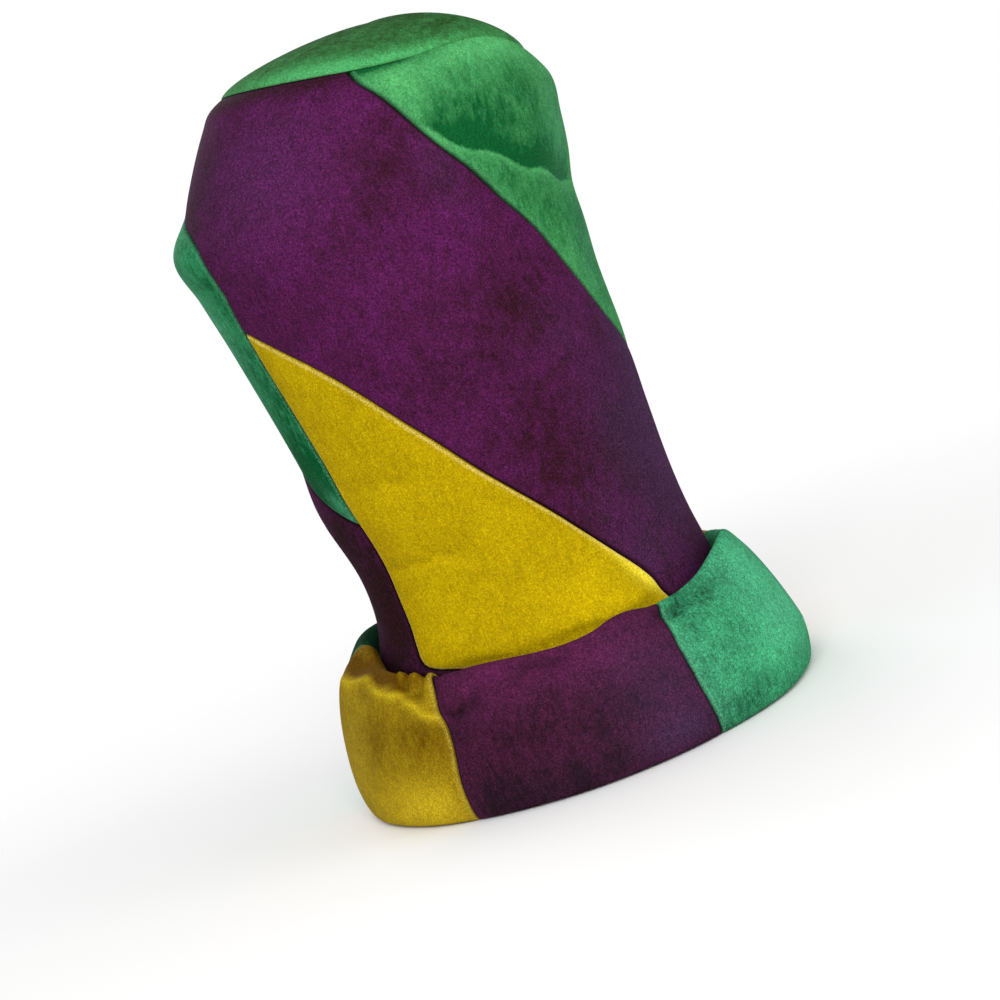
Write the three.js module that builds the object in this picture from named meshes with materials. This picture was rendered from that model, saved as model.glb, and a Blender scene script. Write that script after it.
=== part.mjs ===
// Stovepipe hat of velvet on thin foam: a tall crown pieced from diagonal green, purple and gold
// panels, a domed green top, and a turned-up cuff of six panels round its foot.
// Millimetres, +Z up. The hat stands on its cuff at z = 0, round the Z axis. The wearer's front is -Y
// and the wearer's right side is -X. Turn is the angle round the hat in degrees, 0 at the wearer's
// right side and 90 at the front. Height is measured up the crown from the floor.
import * as THREE from 'three';

// Driving sizes
const WALL = 3; // velvet with its foam backing
const SEAM_GAP = 0.6; // between two sewn edges, measured round the hat
const EDGE_GAP = 0.5; // from the crown's edges up to the top and down to the cuff's sole
const CROWN_HEIGHT = 373; // up to the seam round the top
const PANEL_SWELL = 1.6; // rise of a panel's middle above its seams
const SWELL_WIDTH = 30; // a narrower panel swells less
const SWELL_FADE = 25; // the swell dies out over this height below the top seam
const ROW_STEP = 14; // most that the crown's mesh rows lie apart
const TIP_STEP = 2.5; // a pointed panel stops this far short of where its edges meet
const CROWN_COLUMNS = 9; // mesh columns across one crown panel
const CUFF_COLUMNS = 8; // mesh columns across one cuff panel
const TOP_SIDES = 40; // mesh sides round the top
const TOP_RINGS = 6; // mesh rings from the top's middle to its rim
const SLOPE_STEP = 0.25; // half step for reading a surface's slope

// Level sections of the crown, from the foot up. front is how far the section's middle is shifted to
// the front, tilt how far it leans front down in degrees, and the half sizes are those of its ellipse.
const SECTIONS = [
  { height: 0, front: 0, tilt: 0, halfDepth: 98, halfWidth: 95 },
  { height: 50, front: 0, tilt: 0, halfDepth: 96, halfWidth: 92 },
  { height: 75, front: 0, tilt: 0, halfDepth: 93.5, halfWidth: 89 },
  { height: 100, front: 1.5, tilt: 0, halfDepth: 88.5, halfWidth: 85 },
  { height: 125, front: 0.3, tilt: 0, halfDepth: 88.2, halfWidth: 85 },
  { height: 165, front: -4, tilt: 0.5, halfDepth: 92.5, halfWidth: 88 },
  { height: 195, front: -4.6, tilt: 1.5, halfDepth: 94.2, halfWidth: 91 },
  { height: 250, front: -10.5, tilt: 5, halfDepth: 98.5, halfWidth: 96 },
  { height: 280, front: -13.5, tilt: 7, halfDepth: 103.5, halfWidth: 98 },
  { height: 302, front: -16, tilt: 8.5, halfDepth: 107, halfWidth: 100 },
  { height: 322, front: -7, tilt: 10, halfDepth: 102, halfWidth: 99 },
  { height: 342, front: 0.5, tilt: 11, halfDepth: 97, halfWidth: 95.5 },
  { height: 358, front: 6, tilt: 11, halfDepth: 93.3, halfWidth: 91 },
  { height: 367, front: 7, tilt: 11, halfDepth: 88.5, halfWidth: 86.5 },
  { height: CROWN_HEIGHT, front: 10.5, tilt: 11, halfDepth: 81.5, halfWidth: 79.5 },
];

// The top seam is pulled up at the front of the right side.
const RIM_PULL = { turn: 46, spread: 30, rise: 9, below: 40 };

// The dome of the top: its rise over the seam at the middle, how much fuller it is at the front, and the
// two powers that shape its profile, of the share of the way out and of what is left of the rise.
const DOME = { rise: 28, lean: 0.18, outPower: 1.62, risePower: 0.66 };

// The two seams up the crown that join its halves.
const BACK_SEAM = [
  { height: 0, turn: -44 },
  { height: 75, turn: -47 },
  { height: 90, turn: -51.5 },
  { height: 115, turn: -55 },
  { height: 155, turn: -53.4 },
  { height: 205, turn: -58.3 },
  { height: 262, turn: -60 },
  { height: 296, turn: -56.5 },
  { height: 316, turn: -71 },
  { height: 332, turn: -90 },
  { height: CROWN_HEIGHT, turn: -104 },
];
const FRONT_SEAM = [
  { height: 0, turn: 131 },
  { height: 110, turn: 128 },
  { height: 225, turn: 122 },
  { height: CROWN_HEIGHT, turn: 108 },
];

// The diagonal seams of the right half, between gold and purple and between purple and green.
const GOLD_EDGE = [
  { height: 0, turn: 76 },
  { height: 73, turn: 40 },
  { height: 90, turn: 34.4 },
  { height: 118, turn: 20.6 },
  { height: 135, turn: 12.5 },
  { height: 196, turn: -16.5 },
  { height: 238, turn: -38.5 },
  { height: 261, turn: -59 },
  { height: 290, turn: -92 },
];
const GREEN_EDGE = [
  { height: 120, turn: 166 },
  { height: 156, turn: 129 },
  { height: 208, turn: 76 },
  { height: 251, turn: 57.5 },
  { height: 306, turn: 36 },
  { height: 330, turn: 20.5 },
  { height: CROWN_HEIGHT, turn: -8.5 },
];
const HALF_TURN = 180; // the left half repeats the right half, half a turn on

// Folds that run round the crown from one turn to another. sag bows the line up or down at its middle,
// depth is how far the fold is pressed in, and a fold with a negative depth stands out.
const CROWN_FOLDS = [
  { fromTurn: 10, fromHeight: 345, toTurn: 87, toHeight: 300.5, sag: -6, width: 10, depth: 4 },
  { fromTurn: -54, fromHeight: 175, toTurn: -22, toHeight: 173, sag: 0, width: 6, depth: 1 },
  { fromTurn: -53, fromHeight: 128, toTurn: -16, toHeight: 131, sag: 0, width: 6, depth: 1 },
  { fromTurn: -66, fromHeight: 77, toTurn: 48, toHeight: 77, sag: 0, width: 9, depth: -3 },
];

// Outer line of the cuff from its inner edge below the crown, along the sole, round the bottom fold, up
// the outside, over the rolled top and down inside. reach is measured out from the crown's foot.
const CUFF_LINE = [
  { reach: -WALL, height: 0 },
  { reach: 9, height: 0 },
  { reach: 25, height: 0 },
  { reach: 28.6, height: 3 },
  { reach: 30.6, height: 11 },
  { reach: 31, height: 22 },
  { reach: 29.2, height: 36 },
  { reach: 26, height: 50 },
  { reach: 21.3, height: 63 },
  { reach: 15, height: 74 },
  { reach: 9.5, height: 80 },
  { reach: 5, height: 77 },
  { reach: 3.5, height: 69 },
  { reach: 3.5, height: 58 },
];
const CUFF_LINE_TOP = 80; // height of the rolled top in that line
const CUFF_LINE_WIDEST = 22; // height at which that line reaches out furthest

// The cuff round the hat: height of its rolled top, the share of its reach that it loses by there, and how
// far the roll is tucked in towards the crown.
const CUFF_ROUND = [
  { turn: -180, top: 84, lean: 0, tuck: 2 },
  { turn: -122, top: 86, lean: -0.03, tuck: 2 },
  { turn: -98, top: 86, lean: -0.05, tuck: 4 },
  { turn: -84, top: 89.5, lean: -0.05, tuck: 7 },
  { turn: -73, top: 85.5, lean: -0.04, tuck: 6.5 },
  { turn: -66, top: 81, lean: -0.03, tuck: 4 },
  { turn: -54, top: 78.5, lean: 0, tuck: 1 },
  { turn: -36, top: 75, lean: 0, tuck: 0 },
  { turn: 0, top: 70.5, lean: 0, tuck: 0 },
  { turn: 18, top: 73.5, lean: 0.02, tuck: 0 },
  { turn: 42, top: 72.5, lean: 0.06, tuck: 0 },
  { turn: 60, top: 81, lean: 0.16, tuck: 2 },
  { turn: 70, top: 84.5, lean: 0.2, tuck: 2.5 },
  { turn: 95, top: 79, lean: 0.28, tuck: 2 },
  { turn: 140, top: 78, lean: 0.09, tuck: 2 },
  { turn: 180, top: 84, lean: 0, tuck: 2 },
];

// Rows of the cuff's line between which the tuck sets in, and between which half of it is given back.
const TUCK_ROWS = { start: 8, full: 10.5, easing: 11, eased: 13 };

// Folds of the cuff, in the same columns as the crown's.
const CUFF_FOLDS = [
  { fromTurn: -84, fromHeight: 83, toTurn: -30, toHeight: 60, sag: 9, width: 7, depth: 4 },
  { fromTurn: -91, fromHeight: 75.5, toTurn: -28, toHeight: 45.5, sag: 10.5, width: 7, depth: -3.5 },
  { fromTurn: 24, fromHeight: 68, toTurn: 62, toHeight: 71, sag: -2, width: 6, depth: 3 },
  { fromTurn: -38, fromHeight: 49, toTurn: 4, toHeight: 64, sag: 7, width: 6, depth: 1.8 },
];
const FOLD_REACH = { start: 6, full: 13 }; // cuff folds fade out where the roll turns inward

// The cuff's seams, by their turn at the bottom and how far they lean on toward the top.
const CUFF_SEAMS = [
  { turn: -97, lean: 0 },
  { turn: -32.8, lean: -4.5 },
  { turn: 28.5, lean: 1.5 },
  { turn: 106, lean: 0 },
  { turn: 151, lean: 0 },
  { turn: 207, lean: 0 },
  { turn: 263, lean: 0 },
];

// The cuff's panels, each from one of those seams to the next.
const CUFF_PANELS = [
  { name: 'cuff_gold_right', finish: 'gold' },
  { name: 'cuff_purple_right', finish: 'purple' },
  { name: 'cuff_green_front', finish: 'green' },
  { name: 'cuff_gold_left', finish: 'gold' },
  { name: 'cuff_purple_left', finish: 'purple' },
  { name: 'cuff_green_back', finish: 'green' },
];

// Colours of the velvet
const FINISHES = {
  green: { color: 0x1f9450, roughness: 0.8, metalness: 0 },
  purple: { color: 0x4e1a50, roughness: 0.8, metalness: 0 },
  gold: { color: 0xc9a312, roughness: 0.8, metalness: 0 },
};

const { clamp, degToRad, lerp, radToDeg, smoothstep } = THREE.MathUtils;

// Smooth curve through a table's rows: a function that gives the other columns at any value of one.
function curveThrough(rows, key) {
  const names = Object.keys(rows[0]).filter((name) => name !== key);
  const places = rows.map((row) => row[key]);
  const values = rows.flatMap((row) => names.map((name) => row[name]));
  const curve = new THREE.CubicInterpolant(places, values, names.length);
  return (place) => {
    const found = curve.evaluate(place);
    return Object.fromEntries(names.map((name, column) => [name, found[column]]));
  };
}

const sectionAt = curveThrough(SECTIONS, 'height');
const cuffAt = curveThrough(CUFF_ROUND, 'turn');

// The same turn, counted from -180 to 180.
function plainTurn(turn) {
  return THREE.MathUtils.euclideanModulo(turn + HALF_TURN, 2 * HALF_TURN) - HALF_TURN;
}

// How far the folds of a table move the cloth out at a turn and height.
function foldRelief(folds, turn, height) {
  const reliefs = folds.map((fold) => {
    const along = (plainTurn(turn) - fold.fromTurn) / (fold.toTurn - fold.fromTurn);
    const ends = smoothstep(Math.min(along, 1 - along), 0, 0.25);
    const line = lerp(fold.fromHeight, fold.toHeight, along) + 4 * fold.sag * along * (1 - along);
    const away = (height - line) / fold.width;
    return -fold.depth * ends * Math.exp(-away * away);
  });
  return reliefs.reduce((sum, relief) => sum + relief, 0);
}

// Point at a distance out from a surface of two parameters, along its normal.
function pointOut(surface, u, v, out) {
  const alongU = surface(u + SLOPE_STEP, v).sub(surface(u - SLOPE_STEP, v));
  const alongV = surface(u, v + SLOPE_STEP).sub(surface(u, v - SLOPE_STEP));
  const normal = alongU.cross(alongV).normalize();
  return surface(u, v).addScaledVector(normal, out);
}

// Moves every vertex of a geometry to the place that a function gives for it.
function bend(geometry, place) {
  const { position } = geometry.attributes;
  const vertex = new THREE.Vector3();
  for (let index = 0; index < position.count; index += 1) {
    vertex.fromBufferAttribute(position, index);
    position.setXYZ(index, ...place(vertex));
  }
  geometry.computeVertexNormals();
  return geometry;
}

// Panel bent from a flat box: across runs between its two seams, row counts along its length, and the
// box's back face becomes the inside of the wall.
function bentPanel(columns, rowCount, place) {
  const box = new THREE.BoxGeometry(1, 1, 1, columns, rowCount - 1, 1);
  return bend(box, ({ x, y, z }) => {
    const row = Math.round((y + 0.5) * (rowCount - 1));
    return place(x + 0.5, row, z > 0 ? 0 : -WALL);
  });
}

// A panel is full in its middle and drops to its seams at both ends.
function swellAcross(across) {
  return 1 - (2 * across - 1) ** 4;
}

function velvet(name, finish, geometry) {
  const mesh = new THREE.Mesh(geometry, new THREE.MeshStandardMaterial(FINISHES[finish]));
  mesh.name = name;
  return mesh;
}

// Crown

// Smooth outer surface of the crown.
function crownSurface(turn, anyHeight) {
  const height = clamp(anyHeight, 0, CROWN_HEIGHT);
  const { front, tilt, halfDepth, halfWidth } = sectionAt(height);
  const forward = halfDepth * Math.sin(degToRad(turn));
  const away = (plainTurn(turn) - RIM_PULL.turn) / RIM_PULL.spread;
  const nearRim = smoothstep(height, CROWN_HEIGHT - RIM_PULL.below, CROWN_HEIGHT);
  const pull = RIM_PULL.rise * Math.exp(-away * away) * nearRim;
  return new THREE.Vector3(
    -halfWidth * Math.cos(degToRad(turn)),
    -front - forward * Math.cos(degToRad(tilt)),
    height - forward * Math.sin(degToRad(tilt)) + pull,
  );
}

// Half of the seam gap as a turn.
function seamTurn(height) {
  const { halfDepth, halfWidth } = sectionAt(height);
  return radToDeg(SEAM_GAP / (halfDepth + halfWidth));
}

function seamCurve(rows, start) {
  const curve = curveThrough(rows, 'height');
  return (height) => curve(height).turn + start;
}

// Height at which a stripe's edge, falling behind a seam as it rises, runs into that seam.
function meetingHeight(edge, seam) {
  let low = 0;
  let high = CROWN_HEIGHT;
  while (high - low > SLOPE_STEP / 100) {
    const middle = (low + high) / 2;
    const ahead = edge(middle) > seam(middle);
    low = ahead ? middle : low;
    high = ahead ? high : middle;
  }
  return low;
}

// One half of the crown between its two seams: its stripes' edges and the heights of their tips.
function crownHalf(side, start, seamBefore, seamAfter) {
  const goldEdge = seamCurve(GOLD_EDGE, start);
  const greenEdge = seamCurve(GREEN_EDGE, start);
  const goldTip = meetingHeight(goldEdge, seamBefore);
  const greenTip = meetingHeight(greenEdge, seamAfter);
  return { side, seamBefore, seamAfter, goldEdge, greenEdge, goldTip, greenTip };
}

const CROWN_HALVES = [
  crownHalf('right', 0, seamCurve(BACK_SEAM, 0), seamCurve(FRONT_SEAM, 0)),
  crownHalf('left', HALF_TURN, seamCurve(FRONT_SEAM, 0), seamCurve(BACK_SEAM, 2 * HALF_TURN)),
];

// Heights from one to another in even steps no longer than the row step, without the last one.
function evenSteps(low, high) {
  const count = Math.ceil((high - low) / ROW_STEP);
  return Array.from({ length: count }, (_, step) => lerp(low, high, step / count));
}

// Mesh rows of the whole crown: at its sections, evenly between them, and where a pointed panel ends.
function crownRows() {
  const levels = SECTIONS.map(({ height }) => Math.max(height, WALL + EDGE_GAP));
  const even = levels.flatMap((height, index) => evenSteps(height, levels[index + 1] ?? height + ROW_STEP));
  const tips = CROWN_HALVES.flatMap(({ goldTip, greenTip }) => (
    [goldTip - TIP_STEP, goldTip, greenTip, greenTip + TIP_STEP]
  ));
  const clear = even.filter((height) => tips.every((tip) => Math.abs(tip - height) > ROW_STEP / 3));
  return [...clear, ...tips].sort((one, other) => one - other);
}

const CROWN_ROWS = crownRows();

function crownPanel(name, finish, leftEdge, rightEdge, lowest, highest) {
  const rows = CROWN_ROWS.filter((height) => height >= lowest && height <= highest);
  const geometry = bentPanel(CROWN_COLUMNS, rows.length, (across, row, depth) => {
    const height = rows[row];
    const left = leftEdge(height) + seamTurn(height);
    const right = rightEdge(height) - seamTurn(height);
    const turn = lerp(left, right, across);
    const width = degToRad(right - left) * sectionAt(height).halfWidth;
    const size = Math.min(1, width / SWELL_WIDTH) * smoothstep(CROWN_HEIGHT - height, 0, SWELL_FADE);
    const swell = PANEL_SWELL * size * swellAcross(across);
    return pointOut(crownSurface, turn, height, swell + foldRelief(CROWN_FOLDS, turn, height) + depth);
  });
  return velvet(name, finish, geometry);
}

function crownPanels(half) {
  const { side, seamBefore, seamAfter, goldEdge, greenEdge, goldTip, greenTip } = half;
  const purpleLeft = (height) => (height < goldTip ? goldEdge(height) : seamBefore(height));
  const purpleRight = (height) => (height > greenTip ? greenEdge(height) : seamAfter(height));
  return [
    crownPanel(`crown_gold_${side}`, 'gold', seamBefore, goldEdge, 0, goldTip - TIP_STEP),
    crownPanel(`crown_purple_${side}`, 'purple', purpleLeft, purpleRight, 0, CROWN_HEIGHT),
    crownPanel(`crown_green_${side}`, 'green', greenEdge, seamAfter, greenTip + TIP_STEP, CROWN_HEIGHT),
  ];
}

// Top

// Outer surface of the top: from its middle, angle 0, to its rim on the crown's edge, angle 90. Past the
// rim it runs on straight down, so that its slope there can be read.
function domeSurface(turn, angle) {
  const { front, tilt } = sectionAt(CROWN_HEIGHT);
  const lean = degToRad(tilt);
  const middle = new THREE.Vector3(0, -front, CROWN_HEIGHT);
  const axis = new THREE.Vector3(0, -Math.sin(lean), Math.cos(lean));
  const share = Math.sin(degToRad(angle));
  const fuller = 1 + DOME.lean * share * Math.sin(degToRad(turn));
  const profile = (1 - share ** DOME.outPower) ** DOME.risePower * Math.sign(90 - angle);
  const rise = EDGE_GAP + DOME.rise * profile * fuller;
  return middle.lerp(crownSurface(turn, CROWN_HEIGHT), share).addScaledVector(axis, rise);
}

// The top is a half ball with a wall, turned on a lathe and then bent to the dome. The dome's angle runs
// down from its middle, so its normal points to the inside.
function crownTop() {
  const outerRadius = 2;
  const innerRadius = 1;
  const angles = Array.from({ length: TOP_RINGS + 1 }, (_, ring) => degToRad((90 * ring) / TOP_RINGS));
  const arc = (radius, angle) => new THREE.Vector2(radius * Math.sin(angle), radius * Math.cos(angle));
  const inner = angles.map((angle) => arc(innerRadius, angle));
  const outer = angles.map((angle) => arc(outerRadius, angle));
  const ball = new THREE.LatheGeometry([...inner, ...outer.reverse()], TOP_SIDES);
  const geometry = bend(ball, ({ x, y, z }) => {
    const across = Math.hypot(x, z);
    const turn = radToDeg(Math.atan2(x, z));
    const angle = Math.max(radToDeg(Math.atan2(across, y)), SLOPE_STEP);
    const inside = Math.hypot(across, y) < (outerRadius + innerRadius) / 2;
    const atMiddle = across < 1e-6;
    return pointOut(domeSurface, atMiddle ? 0 : turn, angle, inside ? WALL : 0);
  });
  return velvet('crown_top', 'green', geometry);
}

// Cuff

const cuffLineAt = curveThrough(CUFF_LINE.map((point, place) => ({ place, ...point })), 'place');

// Smooth outer surface of the cuff at a turn, for any place between the rows of its line.
function cuffSurface(turn, place) {
  const { reach, height } = cuffLineAt(place);
  const { top, lean, tuck } = cuffAt(plainTurn(turn));
  const { halfDepth, halfWidth } = SECTIONS[0];
  const above = Math.max(0, height - CUFF_LINE_WIDEST) / (CUFF_LINE_TOP - CUFF_LINE_WIDEST);
  const settled = smoothstep(place, TUCK_ROWS.start, TUCK_ROWS.full);
  const givenBack = smoothstep(place, TUCK_ROWS.easing, TUCK_ROWS.eased) / 2;
  const out = reach * (1 - lean * above) - tuck * settled * (1 - givenBack);
  return new THREE.Vector3(
    -(halfWidth + out) * Math.cos(degToRad(turn)),
    -(halfDepth + out) * Math.sin(degToRad(turn)),
    (height * top) / CUFF_LINE_TOP,
  );
}

// Turn of a cuff seam at a height of the cuff's line.
function cuffSeamTurn({ turn, lean }, height) {
  return turn + lean * (height / CUFF_LINE_TOP) ** 2;
}

function cuffPanel({ name, finish }, index) {
  const geometry = bentPanel(CUFF_COLUMNS, CUFF_LINE.length, (across, row, depth) => {
    const { reach, height } = CUFF_LINE[row];
    const from = cuffSeamTurn(CUFF_SEAMS[index], height) + seamTurn(0);
    const to = cuffSeamTurn(CUFF_SEAMS[index + 1], height) - seamTurn(0);
    const turn = lerp(from, to, across);
    const shown = height > 0 ? smoothstep(reach, FOLD_REACH.start, FOLD_REACH.full) : 0;
    const level = cuffSurface(turn, row).z;
    const relief = foldRelief(CUFF_FOLDS, turn, level) + PANEL_SWELL * swellAcross(across);
    return pointOut(cuffSurface, turn, row, shown * relief + depth);
  });
  return velvet(name, finish, geometry);
}

const hat = new THREE.Group();
hat.add(...CROWN_HALVES.flatMap(crownPanels), crownTop(), ...CUFF_PANELS.map(cuffPanel));

export default hat;
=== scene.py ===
import bmesh
import bpy
import numpy as np
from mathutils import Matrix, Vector


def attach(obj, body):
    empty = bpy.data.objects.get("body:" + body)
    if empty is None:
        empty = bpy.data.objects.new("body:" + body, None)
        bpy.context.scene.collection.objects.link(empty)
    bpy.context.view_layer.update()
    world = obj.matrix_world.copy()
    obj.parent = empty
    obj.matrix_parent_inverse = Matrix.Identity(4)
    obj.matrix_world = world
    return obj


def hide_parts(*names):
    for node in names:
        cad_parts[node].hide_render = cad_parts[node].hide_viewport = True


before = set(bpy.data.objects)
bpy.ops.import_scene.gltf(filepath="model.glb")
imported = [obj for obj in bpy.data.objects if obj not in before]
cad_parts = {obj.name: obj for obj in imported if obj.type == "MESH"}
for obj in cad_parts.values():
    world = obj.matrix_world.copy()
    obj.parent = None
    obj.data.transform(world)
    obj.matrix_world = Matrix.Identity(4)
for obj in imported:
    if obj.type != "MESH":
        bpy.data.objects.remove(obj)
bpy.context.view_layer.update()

# Gold gores of the crown
# Two pointed gores of gold velvet on thin foam, one in each half of the crown. They are sewn edge to edge to
# their neighbours, so their edges roll down into the seams, and their feet run down inside the cuff.
MM = 0.001  # the hat's sizes are millimetres, its meshes are metres
WALL = 3.0  # velvet with its foam
CROWN_HEIGHT = 373.0  # up to the seam round the top
CROWN_FOOT = 3.5  # the crown's cut edge stands this far above the floor, on the cuff's sole
FOLD_EDGE = 1.2  # the lay of the pile changes from one side of a fold to the other over twice this
FOLD_RIPPLE = 1.3  # how far a fold's line wanders
FOLD_RIPPLES = 3.4  # times that it does so along its length
FOLD_ENDS = 0.15  # share of its length over which a fold dies out at each end
FOLD_POWER = 1.6  # how squarely a fold falls off across its line
PANEL_SWELL = 1.6  # rise of a panel's middle above its seams
SWELL_REACH = 9.0  # distance from a seam over which most of that rise is reached
SEAM_ROLL = 2.0  # radius at which a sewn edge rolls into its seam
TOP_SEAM_ROLL = 0.5  # the same for the seam round the top
FLAT_SEAM_TURNS = (-20, 20, 95, 130)  # where that seam starts to be drawn flat, is flat, eases and has eased
FLAT_SEAM_LOSS = 0.97  # share of its roll that it loses where it is flat
SEAM_GAP = 0.2  # between two sewn edges
EDGE_STEPS = np.array([0.0, 0.1, 0.35, 0.8, 1.4, 2.2])  # distances from an edge at which mesh lines follow it
ROW_STEP = 2.0  # between the mesh rows up the crown
GOLD_COLUMNS = 60  # mesh columns across a gold gore, between its edge steps
SEARCH_ROWS = 10001  # heights that are tried to find where two seams meet
MERGE_DISTANCE = 0.01  # points of a ring closer together than this become one
SHARP_ANGLE = 60  # degrees between two faces from which their edge is sharp

# height, shift to the front, lean front down in degrees, half depth, half width
SECTIONS = [
    (0, 0, 0, 98, 95),
    (50, 0, 0, 96, 92),
    (75, 0, 0, 93.5, 89),
    (100, 1, 0, 89, 85),
    (125, 0.5, 0, 88, 85),
    (165, -4, 0.5, 92.5, 88),
    (195, -4.6, 1.5, 94.2, 91),
    (250, -10.5, 5, 98.5, 96),
    (280, -13.5, 7, 103.5, 98),
    (302, -16, 8.5, 107, 100),
    (322, -7, 10, 102, 99),
    (342, 0.8, 11, 96.7, 95.5),
    (358, 7, 11, 92.3, 91),
    (367, 8.2, 11, 87.3, 86.5),
    (CROWN_HEIGHT, 10.5, 11, 81.5, 79.5),
]
RIM_PULL = 9.0  # rise of the top seam at the front of the right side
RIM_PULL_TURN = 46.0  # where that rise is greatest
RIM_PULL_SPREAD = 30.0  # degrees to each side over which it dies out
RIM_PULL_BELOW = 40.0  # distance below the seam over which it does

# height, turn in degrees round the hat: 0 at the wearer's right, 90 at the front
BACK_SEAM = [
    (0, -44),
    (66, -31),
    (71.5, -34.5),
    (73, -40.5),
    (75, -45.5),
    (79.5, -49),
    (85, -50.8),
    (98, -53.2),
    (115, -55),
    (155, -53.4),
    (205, -58.3),
    (262, -60),
    (284, -57.3),
    (298, -56.5),
    (305, -59),
    (311, -66),
    (319, -84),
    (335, -95),
    (CROWN_HEIGHT, -104),
]
FRONT_SEAM = [(0, 131), (110, 128), (225, 122), (CROWN_HEIGHT, 108)]
GOLD_EDGE = [
    (0, 76),
    (73, 40.2),
    (81, 38.5),
    (90, 35),
    (100, 29.8),
    (118, 20.6),
    (135, 12.5),
    (196, -16.5),
    (238, -38.5),
    (261, -59),
    (290, -92),
]

# from turn, from height, to turn, to height, sag, width above, width below, depth, lay above, lay below: the
# lay of the pile with painted shade and painted highlight, which differ from one side of the fold to the
# other
CROWN_FOLDS = [
    (10, 345, 87, 300.5, -6, 15, 4, 4, -1.3, 0.8),
    (-54, 175, -22, 173, 0, 5, 6, 1, -0.2, 0.2),
    (-53, 128, -16, 131, 0, 5, 7, 1, -0.2, 0.25),
    (-66, 74, 42, 74, 0, 8, 3, -2.5, 0, 0),
]

# waves round the hat, millimetres per wave up it, phase, height of the wave
CROWN_WAVES = [(3, 210, 0.4, 0.35), (5, 130, 2.1, 0.3), (8, 95, 4.0, 0.25)]

# turn, height, half width in degrees, half height, slant in millimetres per degree, lay of the pile with
# painted light and shade from -1 dark to 1 bright, haze from 0 to 1 where a pale painted sheen is mixed in
# Painted highlights on the gold, strongest at its tip by the cuff, where a painted sheen is mixed in.
GOLD_LAY_AND_PAINTED_LIGHT = [
    (-36, 100, 26, 22, 0, 0.15, 0),
    (14, 84, 18, 16, -0.8, 0.4, 0),
    (31, 95, 12, 6, -2.4, 0.5, 0.35),
    (38, 80, 6, 7, -1, 0.4, 0.4),
    (-46, 232, 10, 22, 0, 0.2, 0),
]
GOLD = {
    "Lit": (202, 174, 4),
    "Shade": (128, 102, 1),
    "Fuzz": (228, 206, 118),
    "Painted Sheen Color": (252, 234, 70),
}


def through(rows, at):
    """Columns of a table at any place in its first one: a cubic between each two rows, whose slope at a row
    is the mean of the straight slopes on both sides of it."""
    table = np.array(rows, float)
    places, values = table[:, 0], table[:, 1:]
    straight = np.diff(values, axis=0) / np.diff(places)[:, None]
    slopes = np.concatenate([straight[:1], (straight[1:] + straight[:-1]) / 2, straight[-1:]])
    at = np.clip(np.asarray(at, float), places[0], places[-1])
    row = np.clip(np.searchsorted(places, at, "right") - 1, 0, len(places) - 2)
    step = (places[row + 1] - places[row])[..., None]
    share = (at - places[row])[..., None] / step
    start = values[row] * (1 + 2 * share) + step * slopes[row] * share
    end = values[row + 1] * (3 - 2 * share) + step * slopes[row + 1] * (share - 1)
    return np.moveaxis(start * (1 - share) ** 2 + end * share**2, -1, 0)


def smooth_step(value, low, high):
    """0 below low and 1 above high, with three times the square less twice the cube of the share between."""
    share = np.clip((value - low) / (high - low), 0, 1)
    return share * share * (3 - 2 * share)


def plain_turn(turn):
    """The same turn, counted from -180 to 180 degrees."""
    return (turn + 180) % 360 - 180


def crown_surface(turn, height):
    """Smooth outside of the crown: an ellipse at each height, shifted to the front and leaning front down.
    Near the top seam a bell curve of the turn pulls it up."""
    height = np.clip(height, 0, CROWN_HEIGHT)
    front, lean, half_depth, half_width = through(SECTIONS, height)
    angle, lean = np.radians(turn), np.radians(lean)
    forward = half_depth * np.sin(angle)
    bell = np.exp(-(((plain_turn(turn) - RIM_PULL_TURN) / RIM_PULL_SPREAD) ** 2))
    pull = RIM_PULL * bell * smooth_step(height, CROWN_HEIGHT - RIM_PULL_BELOW, CROWN_HEIGHT)
    return np.stack(
        [
            -half_width * np.cos(angle),
            -front - forward * np.cos(lean),
            height - forward * np.sin(lean) + pull,
        ],
        axis=-1,
    )


def raised(surface, u, v, out):
    """Points at a distance out from a surface of two parameters, along the cross product of its steps in
    both."""
    step = 0.25
    along_u = surface(u + step, v) - surface(u - step, v)
    along_v = surface(u, v + step) - surface(u, v - step)
    normal = np.cross(along_u, along_v)
    normal /= np.linalg.norm(normal, axis=-1, keepdims=True)
    return surface(u, v) + normal * out[..., None]


def pressed(folds, turn, height):
    """How far folds move the cloth out, and the lay that they give its pile, with painted shade and painted
    highlight at them. A fold runs along a line from one turn and height to another, bowed by its sag and
    rippled. It falls off across the line as exp of minus a power of the distance over its width, and dies out
    at both ends. The pile's lay and its painted light change at the line."""
    moved = np.zeros(np.broadcast(turn, height).shape)
    lay_and_painted_light = np.zeros_like(moved)
    for from_turn, from_height, to_turn, to_height, sag, above, below, depth, lay_and_painted_light_above, lay_and_painted_light_below in folds:
        along = (plain_turn(turn) - from_turn) / (to_turn - from_turn)
        ends = smooth_step(np.minimum(along, 1 - along), 0, FOLD_ENDS)
        line = from_height + (to_height - from_height) * along + 4 * sag * along * (1 - along)
        line += FOLD_RIPPLE * np.sin(2 * np.pi * FOLD_RIPPLES * along)
        away = height - line
        across = np.abs(away) / np.where(away > 0, above, below)
        strength = ends * np.exp(-(across**FOLD_POWER))
        moved -= depth * strength
        lay_and_painted_light += strength * (lay_and_painted_light_below + (lay_and_painted_light_above - lay_and_painted_light_below) * smooth_step(away, -FOLD_EDGE, FOLD_EDGE))
    return moved, lay_and_painted_light


def unevenness(waves, turn, height):
    """Soft waves of padded cloth: sines that run slantwise round the hat, added up."""
    return sum(
        size * np.sin(np.radians(turn) * count + 2 * np.pi * height / length + phase)
        for count, length, phase, size in waves
    )


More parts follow.
